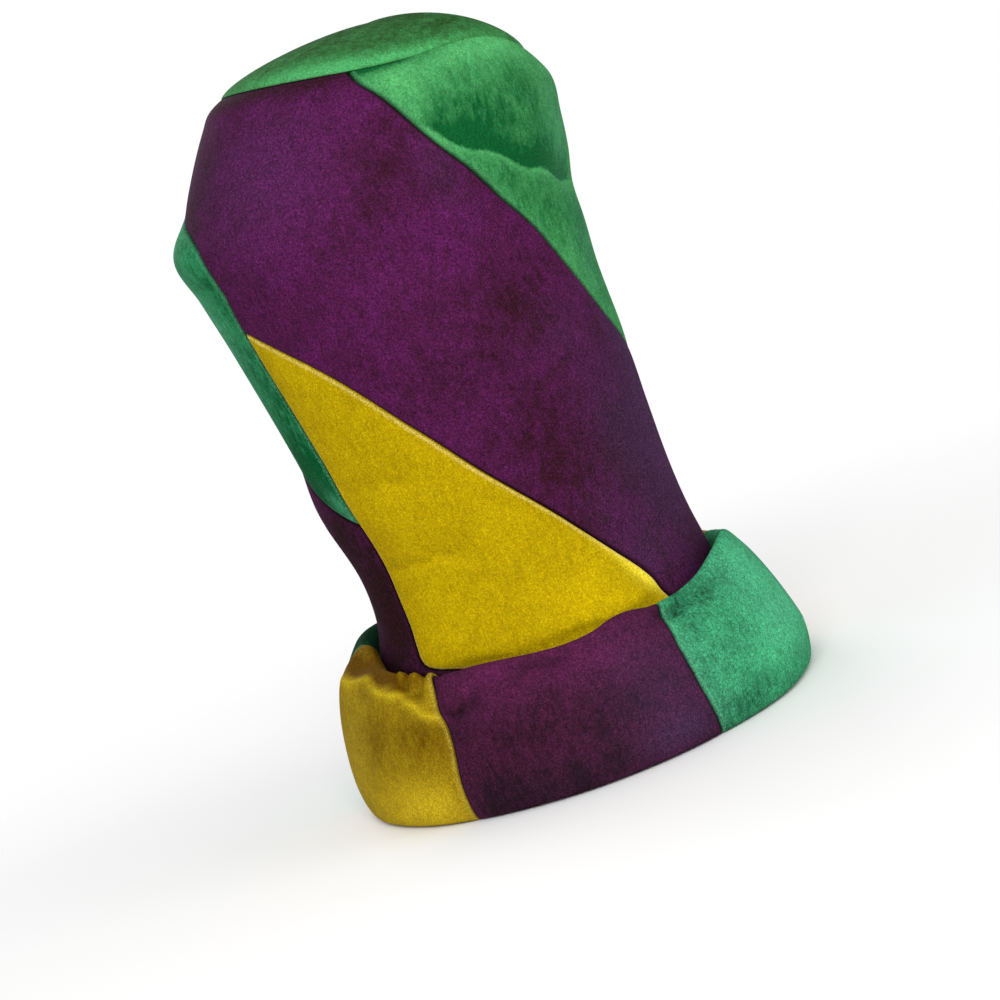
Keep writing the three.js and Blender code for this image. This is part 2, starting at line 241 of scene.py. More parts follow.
def lay_and_painted_light_of_pile(lays_and_painted_light, turn, height):
    """Lay of the pile with painted light and shade, and painted sheen: soft spots, each a bell curve round
    the hat and up it, added up.
    """
    lay_and_painted_light = np.zeros((2, *np.broadcast(turn, height).shape))
    for at_turn, at_height, wide, tall, slant, *amounts in lays_and_painted_light:
        round_it = plain_turn(turn) - at_turn
        up_it = height - at_height - slant * round_it
        bell = np.exp(-((round_it / wide) ** 2) - (up_it / tall) ** 2)
        lay_and_painted_light += np.multiply.outer(amounts, bell)
    return lay_and_painted_light


def between(width, columns):
    """Distances across strips of the given widths: the edge steps in from both edges, and even steps
    between."""
    near = np.minimum(1, width / (4 * EDGE_STEPS[-1]))[:, None] * EDGE_STEPS
    inside = width[:, None] - 2 * near[:, -1:]
    share = np.linspace(0, 1, columns + 2)[1:-1]
    return np.concatenate([near, near[:, -1:] + inside * share, width[:, None] - near[:, ::-1]], axis=1)


def rolled_in(distance, radius):
    """Depth to which a sewn edge has rolled in at a distance from its seam: a quarter of a circle."""
    inside = np.clip(distance, 0, radius)
    return radius - np.sqrt(2 * radius * inside - inside**2)


def drawn_flat(turn):
    """How far the seam round the top is drawn flat: fully at the front of the right side, not at all behind
    and on the left."""
    start, full, easing, eased = FLAT_SEAM_TURNS
    return smooth_step(plain_turn(turn), start, full) * (1 - smooth_step(plain_turn(turn), easing, eased))


def top_seam_roll(turn):
    """Radius at which the seam round the top is rolled in, next to none where it is drawn flat."""
    return TOP_SEAM_ROLL * (1 - FLAT_SEAM_LOSS * drawn_flat(turn))


def seam_line(rows, start=0):
    """Turn of a seam at any height: the curve through its table, moved round the hat by start degrees."""
    return lambda height: through(rows, height)[0] + start


def meeting_height(edge, seam):
    """Height at which a slanting edge, falling behind a seam as it rises, runs into that seam."""
    heights = np.linspace(0, CROWN_HEIGHT, SEARCH_ROWS)
    return heights[np.argmax(edge(heights) <= seam(heights))]


def crown_panel(left, right, low, high, columns, lays_and_painted_light):
    """Grids of a crown panel: rows at heights from low to high, columns between the turns of two seams. The
    wall swells to its middle by one less exp of minus the distance from each seam, and rolls in at its edges.
    With them come the lay of its pile with painted light and shade, its painted sheen, and the distance from
    the nearest seam."""
    even = np.arange(low, high - EDGE_STEPS[-1], ROW_STEP)
    heights = np.concatenate([even, high - EDGE_STEPS[::-1]])
    _, _, half_depth, half_width = through(SECTIONS, heights)
    per_degree = np.radians(half_depth + half_width) / 2
    from_turn, to_turn = left(heights), right(heights)
    width = (to_turn - from_turn) * per_degree - SEAM_GAP
    across = between(width, columns)
    turn = from_turn[:, None] + (across + SEAM_GAP / 2) / per_degree[:, None]
    height = np.broadcast_to(heights[:, None], turn.shape)
    slants = [np.hypot(1, np.gradient(edge, heights) * per_degree)[:, None] for edge in (from_turn, to_turn)]
    distances = [across / slants[0], (width[:, None] - across) / slants[1], CROWN_HEIGHT - height]
    radii = [SEAM_ROLL, SEAM_ROLL, top_seam_roll(turn)]
    fullness = np.prod([1 - np.exp(-distance / SWELL_REACH) for distance in distances], axis=0)
    roll = sum(rolled_in(distance, radius) for distance, radius in zip(distances, radii))
    folded, fold_lay_and_painted_light = pressed(CROWN_FOLDS, turn, height)
    moved = folded + fullness * (PANEL_SWELL + unevenness(CROWN_WAVES, turn, height))
    outer = raised(crown_surface, turn, height, moved - np.minimum(roll, SEAM_ROLL))
    inner = raised(crown_surface, turn, height, moved - WALL)
    lay_and_painted_light, painted_sheen = lay_and_painted_light_of_pile(lays_and_painted_light, turn, height)
    distances[2] = distances[2] + TOP_SEAM_ROLL + SWELL_REACH * drawn_flat(turn)
    return outer, inner, (lay_and_painted_light + fold_lay_and_painted_light, painted_sheen), np.min(distances, axis=0)


def faces_of(grid):
    """Quads of a grid of vertex numbers, facing out where columns run to the right and rows up."""
    return np.stack([grid[:-1, :-1], grid[:-1, 1:], grid[1:, 1:], grid[1:, :-1]], axis=-1).reshape(-1, 4)


def wall_faces(rows, columns, ring):
    """Faces of a closed wall: its outer grid, its inner grid turned round, and strips that join their edges.
    A ring goes right round, and its last row is a single point, so only its first row gets a strip."""
    outer = np.arange(rows * columns).reshape(rows, columns)
    if ring:
        outer = np.concatenate([outer, outer[:, :1]], axis=1)
    inner = outer + rows * columns
    strips = [faces_of(np.stack([inner[0], outer[0]]))]
    if not ring:
        strips += [
            faces_of(np.stack([outer[-1], inner[-1]])),
            faces_of(np.stack([inner[:, 0], outer[:, 0]], axis=1)),
            faces_of(np.stack([outer[:, -1], inner[:, -1]], axis=1)),
        ]
    return np.concatenate([faces_of(outer), faces_of(inner)[:, ::-1], *strips])


def sew(node, cloth, grids, ring=False):
    """Makes the panel that stands for a node from its grids: a closed wall with the lay of its pile with
    painted light and shade, its painted sheen and its distance from the nearest seam on every vertex. Points
    that meet in a ring's middle are merged."""
    outer, inner, (lay_and_painted_light, painted_sheen), to_seam = grids
    mesh = bpy.data.meshes.new(f"{node}_velvet")
    points = np.concatenate([outer.reshape(-1, 3), inner.reshape(-1, 3)]) * MM
    mesh.from_pydata(points.tolist(), [], wall_faces(*outer.shape[:2], ring).tolist())
    for name, values in {"lay_and_painted_light": lay_and_painted_light, "painted_sheen": painted_sheen, "to_seam": to_seam}.items():
        attribute = mesh.attributes.new(name, "FLOAT", "POINT")
        attribute.data.foreach_set("value", np.tile(values.ravel(), 2).astype(np.float32))
    if ring:
        merged = bmesh.new()
        merged.from_mesh(mesh)
        bmesh.ops.remove_doubles(merged, verts=merged.verts, dist=MERGE_DISTANCE * MM)
        merged.to_mesh(mesh)
        merged.free()
    mesh.shade_smooth()
    mesh.set_sharp_from_angle(angle=np.radians(SHARP_ANGLE))
    mesh.materials.append(cloth)
    piece = bpy.data.objects.new(mesh.name, mesh)
    bpy.context.collection.objects.link(piece)
    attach(piece, "root")
    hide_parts(node)


def linear(colour):
    """Linear colour with alpha 1 from a colour of 0 to 255 per channel, by the sRGB curve."""
    share = np.array(colour) / 255
    low = share <= 0.04045
    return (*np.where(low, share / 12.92, ((share + 0.055) / 1.055) ** 2.4), 1.0)


def add_node(tree, kind, inputs=None, **settings):
    """A new node with its settings, and with its inputs set to values or linked to other nodes' outputs."""
    node = tree.nodes.new(kind)
    for name, value in settings.items():
        setattr(node, name, value)
    for name, value in (inputs or {}).items():
        if isinstance(value, bpy.types.NodeSocket):
            tree.links.new(value, node.inputs[name])
        else:
            node.inputs[name].default_value = value
    return node


def mapped(tree, value, low, high, to_low, to_high, kind="SMOOTHSTEP"):
    """A value carried from one range to another, smoothly or straight, and held at the ends."""
    inputs = {"Value": value, "From Min": low, "From Max": high, "To Min": to_low, "To Max": to_high}
    return add_node(tree, "ShaderNodeMapRange", inputs, interpolation_type=kind).outputs["Result"]


def maths(tree, operation, first, second):
    """Two values added, multiplied or otherwise joined."""
    return add_node(tree, "ShaderNodeMath", {0: first, 1: second}, operation=operation).outputs["Value"]


def mixed(tree, share, first, second, blend="MIX"):
    """Two colours blended by a share."""
    inputs = {0: share, 6: first, 7: second}
    return add_node(tree, "ShaderNodeMix", inputs, data_type="RGBA", blend_type=blend).outputs[2]


# scales of the pile's noise, per metre
TUFT_SCALE = 1300
CLUMP_SCALE = 750
STREAK_SCALE = 330
PATCH_SCALE = 30
SMALL_PATCH_SCALE = 110

STREAK_SLANT = (0.5, 0, 0)  # radians about the axis across the hat
STREAK_SHAPE = (1, 1, 0.45)  # streaks are drawn out along the last axis
LIP_STARTS = (0.3, 0.8)  # distances from the seam over which the pale lip comes in
LIP_ENDS = (1.0, 3.0)  # and goes out again
LIP_FUZZ = 0.7  # most that the fuzz covers there
# the groove's dark is painted shade in the seams
PAINTED_SEAM_SHADE_WIDTH = 2.4  # distance from the seam at which the groove's dark ends


def make_velvet_group():
    """Short pile velvet. The tone runs from the shaded to the lit colour with the lay of the pile and painted
    light and shade, in crushed patches and streaks, under a painted pale sheen. A fine grain brightens and
    darkens it. At the seams painted shade darkens it into the groove behind a pale fuzzy lip."""
    group = bpy.data.node_groups.new("velvet_pile", "ShaderNodeTree")
    for name in ("Lit", "Shade", "Fuzz", "Painted Sheen Color"):
        group.interface.new_socket(name, in_out="INPUT", socket_type="NodeSocketColor")
    for name in ("Lay And Painted Light", "Painted Sheen", "To Seam", "Crush", "Grain", "Painted Seam Shade"):
        group.interface.new_socket(name, in_out="INPUT", socket_type="NodeSocketFloat")
    group.interface.new_socket("Color", in_out="OUTPUT", socket_type="NodeSocketColor")
    group.interface.new_socket("Height", in_out="OUTPUT", socket_type="NodeSocketFloat")
    given = group.nodes.new("NodeGroupInput").outputs
    place = group.nodes.new("ShaderNodeTexCoord").outputs["Object"]

    stretch = {"Vector": place, "Rotation": STREAK_SLANT, "Scale": STREAK_SHAPE}
    stretched = add_node(group, "ShaderNodeMapping", stretch).outputs["Vector"]

    def noise(scale, detail, low, high, distortion=0.0, at=place):
        inputs = {"Vector": at, "Scale": scale, "Detail": detail, "Distortion": distortion}
        found = add_node(group, "ShaderNodeTexNoise", inputs).outputs["Fac"]
        return mapped(group, found, 0.25, 0.75, low, high, "LINEAR")

    tufts = noise(TUFT_SCALE, 1.0, -1.0, 1.0)
    clumps = noise(CLUMP_SCALE, 1.0, -1.0, 1.0)
    sparkle = mapped(group, tufts, -0.2, 0.9, -0.3, 1.2)
    rough = maths(group, "ADD", sparkle, maths(group, "MULTIPLY", clumps, 0.6))
    large_patches = noise(PATCH_SCALE, 3.0, -1.0, 1.0, distortion=0.8)
    patches = maths(group, "ADD", large_patches, noise(SMALL_PATCH_SCALE, 2.0, -0.6, 0.6))
    streaks = noise(STREAK_SCALE, 3.0, -1.3, 1.3, 0.7, stretched)
    crushed = maths(group, "MULTIPLY", maths(group, "ADD", patches, streaks), given["Crush"])
    # the lay carries painted light and shade as well as the pile's random crush
    lay_and_painted_light = maths(group, "ADD", given["Lay And Painted Light"], crushed)
    tone = mapped(group, lay_and_painted_light, -1.0, 1.0, 0.0, 1.0, "LINEAR")
    pile = mixed(group, tone, given["Shade"], given["Lit"])
    # painted sheen: the pile's tone mixed towards a pale colour
    with_painted_sheen = mixed(group, given["Painted Sheen"], pile, given["Painted Sheen Color"])
    grain = maths(group, "ADD", maths(group, "MULTIPLY", rough, given["Grain"]), 1.0)
    standing = mixed(group, 1.0, with_painted_sheen, grain, "MULTIPLY")
    lip = maths(
        group,
        "MULTIPLY",
        mapped(group, given["To Seam"], *LIP_STARTS, 0.0, 1.0),
        mapped(group, given["To Seam"], *LIP_ENDS, 1.0, 0.0),
    )
    fuzz = maths(group, "MULTIPLY", lip, mapped(group, tufts, -0.7, 0.6, 0.0, LIP_FUZZ))
    fuzzy = mixed(group, fuzz, standing, given["Fuzz"])
    # painted shade in the seams' groove
    painted_seam_shade = mapped(group, given["To Seam"], 0.0, PAINTED_SEAM_SHADE_WIDTH, given["Painted Seam Shade"], 1.0)
    darkened = mixed(group, 1.0, fuzzy, painted_seam_shade, "MULTIPLY")
    add_node(group, "NodeGroupOutput", {"Color": darkened, "Height": rough})
    return group


velvet_pile = make_velvet_group()


def velvet(name, colours, crush, grain, painted_seam_shade):
    """Velvet of one colour: the pile group's colour and bumps under a soft sheen. The groove is the share of
    its brightness that it keeps at a seam, where painted shade darkens it."""
    cloth = bpy.data.materials.new(name)
    cloth.use_nodes = True
    tree = cloth.node_tree
    tree.nodes.clear()
    inputs = {socket: linear(colour) for socket, colour in colours.items()}
    for socket, attribute in (("Lay And Painted Light", "lay_and_painted_light"), ("Painted Sheen", "painted_sheen"), ("To Seam", "to_seam")):
        inputs[socket] = add_node(tree, "ShaderNodeAttribute", attribute_name=attribute).outputs["Fac"]
    inputs |= {"Crush": crush, "Grain": grain, "Painted Seam Shade": painted_seam_shade}
    pile = add_node(tree, "ShaderNodeGroup", inputs, node_tree=velvet_pile).outputs
    bumps = {"Height": pile["Height"], "Strength": 0.4, "Distance": 0.25 * MM}
    bump = add_node(tree, "ShaderNodeBump", bumps)
    shader_inputs = {
        "Base Color": pile["Color"],
        "Roughness": 0.8,
        "Specular IOR Level": 0.03,
        "Sheen Weight": 0.03,
        "Sheen Roughness": 0.35,
        "Sheen Tint": linear(colours["Fuzz"]),
        "Normal": bump.outputs["Normal"],
    }
    shader = add_node(tree, "ShaderNodeBsdfPrincipled", shader_inputs)
    add_node(tree, "ShaderNodeOutputMaterial", {"Surface": shader.outputs["BSDF"]})
    return cloth


gold_velvet = velvet("gold_velvet", GOLD, crush=0.2, grain=0.3, painted_seam_shade=0.95)
back_seam, front_seam = seam_line(BACK_SEAM), seam_line(FRONT_SEAM)
back_seam_on = seam_line(BACK_SEAM, 360)
right_gold_edge, left_gold_edge = seam_line(GOLD_EDGE), seam_line(GOLD_EDGE, 180)
right_gold_tip = meeting_height(right_gold_edge, back_seam)
left_gold_tip = meeting_height(left_gold_edge, front_seam)
sew(
    "crown_gold_right",
    gold_velvet,
    crown_panel(back_seam, right_gold_edge, CROWN_FOOT, right_gold_tip, GOLD_COLUMNS, GOLD_LAY_AND_PAINTED_LIGHT),
)
sew(
    "crown_gold_left",
    gold_velvet,
    crown_panel(front_seam, left_gold_edge, CROWN_FOOT, left_gold_tip, GOLD_COLUMNS, GOLD_LAY_AND_PAINTED_LIGHT),
)

# Purple bands of the crown
# Two broad bands of purple velvet on thin foam, which wind up the crown between the gold and the green gores.
# They are sewn to the gores along slanting seams, and to each other up the back and the front.
PURPLE_COLUMNS = 100
GREEN_EDGE = [(120, 166), (156, 126), (208, 76), (251, 57.5), (306, 36), (330, 20.5), (CROWN_HEIGHT, -8.5)]
PURPLE = {
    "Lit": (92, 28, 86),
    "Shade": (48, 18, 28),
    "Fuzz": (76, 32, 64),
    "Painted Sheen Color": (78, 52, 92),
}
# Painted light and shade: darker towards the front and the far back, with a painted sheen at the front, and
# painted shade under the top seam.
PURPLE_LAY_AND_PAINTED_LIGHT = [
    (2, 324, 11, 24, 1.5, -0.75, 0),
    (19, 320, 7, 14, -1.5, -0.4, 0.15),
    (27, 243, 18, 26, 0, -0.5, 0),
    (17, 287, 8, 18, 0, 0.3, 0),
    (20, 172, 11, 48, 0, -0.7, 0),
    (29, 124, 8, 16, 0, -0.5, 0.1),
    (41, 221, 12, 22, 0, -0.1, 0.1),
    (60, 125, 22, 60, 0, -1.0, 0.25),
    (74, 185, 15, 90, 0, -0.5, 0.4),
    (47, 165, 12, 36, 0, -0.5, 0.15),
    (36, 92, 14, 20, 0, -0.2, 0.2),
    (-27, 287, 18, 34, 0, 0.2, 0),
    (-36, 330, 22, 34, 0, 0.25, 0.2),
    (-7, 358, 20, 10, 0, 0.1, 0),
    (-50, 373, 60, 7, 0, -1.3, 0),
    (3, 216, 11, 20, 0, -0.25, 0),
    (-72, 328, 21, 44, 0, -0.9, 0.15),
]

# In the photo the left band shows only beside the back seam, at the waist, where it is painted dark: a copy
# of the purple with a darker shade colour, and a spot of painted shade.
WAIST_PURPLE_PAINTED_SHADE = PURPLE | {"Shade": (38, 17, 22)}
WAIST_PAINTED_SHADE = [(-60, 100, 34, 80, 0, -1.0, 0)]


def first_seam(low_seam, high_seam, height_between):
    """One edge of a band: the first seam below a height, and the second above it."""
    return lambda height: np.where(height < height_between, low_seam(height), high_seam(height))


purple_velvet = velvet("purple_velvet", PURPLE, crush=0.34, grain=0.55, painted_seam_shade=0.3)
# a darker copy of the purple for the left band, as painted shade
waist_painted_shade_velvet = velvet("waist_painted_shade_velvet", WAIST_PURPLE_PAINTED_SHADE, crush=0.34, grain=0.55, painted_seam_shade=0.3)
right_green_edge, left_green_edge = seam_line(GREEN_EDGE), seam_line(GREEN_EDGE, 180)
right_green_tip = meeting_height(right_green_edge, front_seam)
left_green_tip = meeting_height(left_green_edge, back_seam_on)
sew(
    "crown_purple_right",
    purple_velvet,
    crown_panel(
        first_seam(right_gold_edge, back_seam, right_gold_tip),
        first_seam(front_seam, right_green_edge, right_green_tip),
        CROWN_FOOT,
        CROWN_HEIGHT,
        PURPLE_COLUMNS,
        PURPLE_LAY_AND_PAINTED_LIGHT,
    ),
)
sew(
    "crown_purple_left",
    waist_painted_shade_velvet,
    crown_panel(
        first_seam(left_gold_edge, front_seam, left_gold_tip),
        first_seam(back_seam_on, left_green_edge, left_green_tip),
        CROWN_FOOT,
        CROWN_HEIGHT,
        PURPLE_COLUMNS,
        WAIST_PAINTED_SHADE,
    ),
)

# Green gores of the crown
# Two gores of green velvet on thin foam that start in a point low on the crown and widen up to its top. They
# are sewn to the purple bands. Where the crown has been folded, the pile is painted lighter and darker:
# partly crushed pile, partly painted light and shade.
GREEN_COLUMNS = 70
GREEN = {
    "Lit": (84, 172, 102),
    "Shade": (12, 84, 40),
    "Fuzz": (90, 160, 108),
    "Painted Sheen Color": (80, 148, 112),
}
# Painted shade above the crease and in the top seam, a painted highlight just below that seam, and a painted
# sheen towards the front.
GREEN_LAY_AND_PAINTED_LIGHT = [
    (37, 344, 13, 8, -0.4, -0.5, 0),
    (52, 350, 10, 9, -0.3, -0.7, 0),
    (10, 360, 7, 10, -1.4, 0.4, 0),
    (42, 369, 34, 7, 0, 0.8, 0),
    (3, 373, 16, 3.2, 0, -1.6, 0),
    (75, 330, 12, 30, 0, 0, 0.35),
    (56, 291, 18, 18, -0.6, -0.6, 0),
    (74, 258, 10, 36, 0, -0.5, 0.35),
    (26, 336, 9, 9, -0.6, -0.15, 0),
    (60, 333, 9, 12, 0, -0.35, 0),
    (42, 314, 10, 8, -0.6, -0.3, 0),
]

# In the photo the left gore shows only as a strip along the back seam. It is painted as a darker, bluer copy
# of the green, with painted shade.
STRIP_GREEN_PAINTED_SHADE = {
    "Lit": (62, 160, 108),
    "Shade": (4, 78, 40),
    "Fuzz": (90, 160, 120),
    "Painted Sheen Color": (96, 150, 128),
}
# painted shade along the strip, lighter with a painted sheen further back
STRIP_LAY_AND_PAINTED_LIGHT = [
    (-70, 200, 30, 70, 0, -0.6, 0),
    (-54.5, 211, 10, 42, -11.3, -0.5, 0),
    (-85, 270, 14, 45, 0, 0.6, 0.35),
    (-68, 184, 14, 18, 0, -1.0, 0),
    (-58, 166, 6, 8, -2, 0.5, 0.2),
]

# a darker, bluer copy of the green for the strip, as painted shade
strip_painted_shade_velvet = velvet("strip_painted_shade_velvet", STRIP_GREEN_PAINTED_SHADE, crush=0.4, grain=0.35, painted_seam_shade=0.5)
green_velvet = velvet("green_velvet", GREEN, crush=0.27, grain=0.33, painted_seam_shade=0.5)
sew(
    "crown_green_right",
    green_velvet,
    crown_panel(right_green_edge, front_seam, right_green_tip, CROWN_HEIGHT, GREEN_COLUMNS, GREEN_LAY_AND_PAINTED_LIGHT),
)
sew(
    "crown_green_left",
    strip_painted_shade_velvet,
    crown_panel(left_green_edge, back_seam_on, left_green_tip, CROWN_HEIGHT, GREEN_COLUMNS, STRIP_LAY_AND_PAINTED_LIGHT),
)

# Top of the crown
# A disc of green velvet on thin foam, sewn in round the top edge of the crown and puffed up to a low dome.
# Its rim rolls down into the seam like the edges of the panels below.
DOME_RISE = 28.0
DOME_LEAN = 0.18  # how much fuller the dome is at the front
DOME_POWERS = (1.62, 0.66)  # of the share of the way out, and of what is left of the rise
DOME_LIFT = 0.08  # from the crown's edge to the top's, where the seam isn't drawn flat
DOME_LIFT_LOSS = 0.8  # share of that which is lost where it is
TOP_COLUMNS = 220
TOP_RINGS = 70
RING_CROWDING = 1.5  # power that draws the rings together at the rim
LAST_RING = 89.75  # degrees up from the rim, just short of the middle
# A darker, olive copy of the green for the top, as painted shade.
TOP_GREEN_PAINTED_SHADE = {
    "Lit": (72, 160, 92),
    "Shade": (36, 72, 30),
    "Fuzz": (100, 172, 110),
    "Painted Sheen Color": (80, 148, 112),
}

# the same columns as in the other lays, with degrees out from the middle in place of heights: painted shade
# over the top and at its seam, and a painted highlight along its rim
TOP_LAY_AND_PAINTED_LIGHT = [
    (10, 30, 1000, 44, 0, -0.8, 0),
    (-18, 78, 30, 14, 0, 1.5, 0.1),
    (25, 57, 26, 18, 0, -0.3, 0),
    (0, 90, 13, 6, 0, -0.6, 0),
    (18, 82, 16, 7, 0, 0.8, 0),
]


def dome_surface(turn, angle):
    """Outside of the top, from its middle at angle 0 to its rim at angle 90: the sine of the angle is the
    share of the way from the middle to the crown's edge. The rise along the leaning axis is one less a power
    of that share, to another power, and turns down past the rim."""
    front, lean, _, _ = through(SECTIONS, CROWN_HEIGHT)
    lean = np.radians(lean)
    middle = np.array([0, -front, CROWN_HEIGHT])
    axis = np.array([0, -np.sin(lean), np.cos(lean)])
    share = np.abs(np.sin(np.radians(angle)))
    fuller = 1 + DOME_LEAN * share * np.sin(np.radians(turn))
    lift = DOME_LIFT * (1 - DOME_LIFT_LOSS * drawn_flat(turn))
    profile = (1 - share ** DOME_POWERS[0]) ** DOME_POWERS[1] * np.sign(90 - angle)
    rise = lift + DOME_RISE * profile * fuller
    rim = crown_surface(turn, np.full_like(angle, CROWN_HEIGHT))
    return middle + (rim - middle) * share[..., None] + axis * rise[..., None]


def dome_from_rim(turn, up):
    """The same surface counted up from its rim, so that its normal points out."""
    return dome_surface(turn, 90 - up)


def top_grids():
    """Grids of the top: rings from its rim, close together there, to its middle, rolled in at the seam."""
    ups = LAST_RING * np.linspace(0, 1, TOP_RINGS) ** RING_CROWDING
    turn, up = np.meshgrid(np.arange(TOP_COLUMNS) * 360 / TOP_COLUMNS, ups)
    path = dome_from_rim(turn, up)
    steps = np.linalg.norm(np.diff(path, axis=0, prepend=path[:1]), axis=-1)
    along = np.cumsum(steps, axis=0)
    sunk = rolled_in(along, top_seam_roll(turn))
    outer = raised(dome_from_rim, turn, up, -sunk)
    inner = raised(dome_from_rim, turn, up, np.full_like(up, -WALL))
    to_seam = along + TOP_SEAM_ROLL + SWELL_REACH * drawn_flat(turn)
    return outer, inner, lay_and_painted_light_of_pile(TOP_LAY_AND_PAINTED_LIGHT, turn, 90 - up), to_seam


# the darker olive copy, as painted shade
top_painted_shade_velvet = velvet("top_painted_shade_velvet", TOP_GREEN_PAINTED_SHADE, crush=0.3, grain=0.35, painted_seam_shade=0.5)
sew("crown_top", top_painted_shade_velvet, top_grids(), ring=True)

# Turned-up cuff
# Six panels of velvet on thin foam, sewn end to end into a wide tube that is folded up round the crown's
# foot. It stands on the flat of its fold and bellies out above the floor. Its top edge is rolled back inside.
CUFF_SEAM_ROLL = 1.2  # the cuff's panels are drawn tighter together than the crown's
CUFF_LINE_TOP = 80.0  # height of the rolled top in the cuff's line
CUFF_LINE_WIDEST = 22.0  # height at which that line reaches out furthest
TUCK_PLACES = (8, 10.5, 11, 13)  # along that line: the tuck starts, is full, eases and has eased
TUCK_LOSS = 0.5  # share of the tuck that is lost by the line's end
SHOWN_REACH = (6, 13)  # reach out from the crown's foot over which folds, gathers and swell come in
SHOWN_HEIGHT = (0, 3)  # height above the floor over which they do
CUFF_ROWS = 150
CUFF_COLUMNS = 60

# place along the cuff's line, reach out from the crown's foot, height
CUFF_LINE = [
    (0, -WALL, 0),
    (1, 9, 0),
    (2, 25, 0),
    (3, 28.6, 3),
    (4, 30.6, 11),
    (5, 31, 22),
    (6, 29.2, 36),
    (7, 26, 50),
    (8, 21.3, 63),
    (9, 15, 74),
    (10, 9.5, 80),
    (11, 5, 77),
    (12, 3.5, 69),
    (13, 3.5, 58),
]

# turn, height of the rolled top, share of its reach that the cuff loses between its widest line and the top,
# and how far the roll is tucked in towards the crown
CUFF_ROUND = [
    (-180, 84, 0, 2),
    (-122, 88, -0.03, 2),
    (-109, 88, -0.05, 2.5),
    (-98, 86, -0.05, 4),
    (-88, 87.3, -0.05, 8),
    (-80, 89.5, -0.05, 8),
    (-73, 85.5, -0.04, 6.5),
    (-66, 81, -0.03, 4),
    (-60, 79.5, -0.02, 2),
    (-54, 78, 0, 1),
    (-46, 76, 0, 0),
    (-36, 73.6, 0, 0),
    (-24, 73.8, 0, 0),
    (-12, 72.2, 0, 0),
    (0, 70.4, 0, 0),
    (10, 71.2, 0.01, 0),
    (15.5, 73.8, 0.02, 0),
    (20, 74.2, 0.03, 0),
    (27, 72, 0.04, 0),
    (42, 72.3, 0.06, 0),
    (50, 75, 0.12, 0),
    (60, 81, 0.16, -1.5),
    (70, 84.5, 0.22, -1.5),
    (95, 79, 0.28, 2),
    (140, 78, 0.09, 2),
    (180, 84, 0, 2),
]

# from turn, from height, to turn, to height, sag, width above, width below, depth, lay above, lay below: the
# lay of the pile with painted shade and painted highlight. The third row draws no fold, only a painted
# highlight along the ridge.
CUFF_FOLDS = [
    (-84, 83, -38, 63, 7, 6, 4, 3.5, -0.4, -0.7),
    (-84, 75, -28, 47, 10.5, 3, 6, -2.6, 0.3, 0.1),
    (-86, 75.5, -28, 47.5, 10.5, 1.6, 2.2, 0, 0.9, 0.9),
    (24, 68, 62, 71, -2, 4, 5, 3, -0.6, -0.6),
    (-38, 49, 4, 64, 7, 4, 5, 1.8, -0.7, -0.5),
    (-14, 66, 34, 64, 0, 4, 4, 1.2, -0.4, 0),
    (-16, 52, 36, 53, 0, 5, 5, 0.8, -0.3, 0),
]
CUFF_WAVES = [(7, 300, 1.0, 0.3), (12, 160, 3.0, 0.2)]

# Gathers where the roll is pulled in beside the crown's back seam
GATHER_TURNS = (-57, -33)
GATHER_COUNT = 4
GATHER_ENDS = 0.25  # share of that stretch over which they die out at each end
GATHER_LOW = 64.0  # height at which they begin
GATHER_RISE = 1.5  # how far they lift and lower the rolled top
GATHER_SIZE = 1.5  # how far they move the cloth out and in

# the same columns as in the crown's lays: painted light and shade on the cuff's folds and roll, such as the
# purple's lighter top and darker foot, and painted shade on the back's rolled top
CUFF_LAY_AND_PAINTED_LIGHT = [
    (-64, 79, 10, 6, -0.3, -0.7, 0),
    (-60, 66, 34, 18, -0.4, -0.25, 0),
    (-82, 85, 9, 9, 0, -0.7, 0),
    (-52, 46, 24, 16, -0.4, -0.4, 0),
    (-70, 50, 8, 22, 0, 0.1, 0.15),
    (-43, 10, 16, 14, 0, 1.1, 0),
    (-107, 90, 12, 14, 0, -1.6, 0),
    (-10, 66, 24, 10, 0, 0.75, 0),
    (10, 57, 20, 13, 0.1, 0.2, 0),
    (20, 12, 9, 10, 0, 0.2, 0.4),
    (0, 34, 32, 16, 0, -0.6, 0),
    (20, 35, 14, 30, 0, 0.1, 0.4),
    (-10, 8, 32, 12, 0, -0.9, 0.1),
    (-26, 12, 7, 16, 0, -0.8, 0),
    (64, 70, 16, 16, 0, 0.5, 0.3),
    (67, 38, 18, 20, 0, 0.7, 0.4),
    (52, 20, 14, 12, 0, 0.35, 0),
    (33, 22, 4, 14, 0, 0.2, 0),
    (37, 8, 14, 11, 0.2, -0.7, 0),
    (-39, 50, 7, 10, 0, -0.3, 0),
    (-44, 76, 10, 4, 0, -0.6, 0),
]
# The cuff's velvets are darker copies of the crown's. The green's copy is bluer, with a painted sheen, and
# its shade colour is darker for painted shade at the back.
CUFF_GOLD = {
    "Lit": (192, 166, 28),
    "Shade": (94, 64, 2),
    "Fuzz": (186, 162, 70),
    "Painted Sheen Color": (156, 136, 50),
}
CUFF_PURPLE = {
    "Lit": (92, 33, 73),
    "Shade": (34, 17, 25),
    "Fuzz": (68, 32, 58),
    "Painted Sheen Color": (66, 44, 72),
}
CUFF_GREEN_PAINTED_LIGHT = {
    "Lit": (72, 180, 126),
    "Shade": (8, 50, 28),
    "Fuzz": (96, 172, 128),
    "Painted Sheen Color": (86, 168, 132),
}
cuff_gold_velvet = velvet("cuff_gold_velvet", CUFF_GOLD, crush=0.16, grain=0.32, painted_seam_shade=0.9)
cuff_purple_velvet = velvet("cuff_purple_velvet", CUFF_PURPLE, crush=0.27, grain=0.5, painted_seam_shade=0.3)
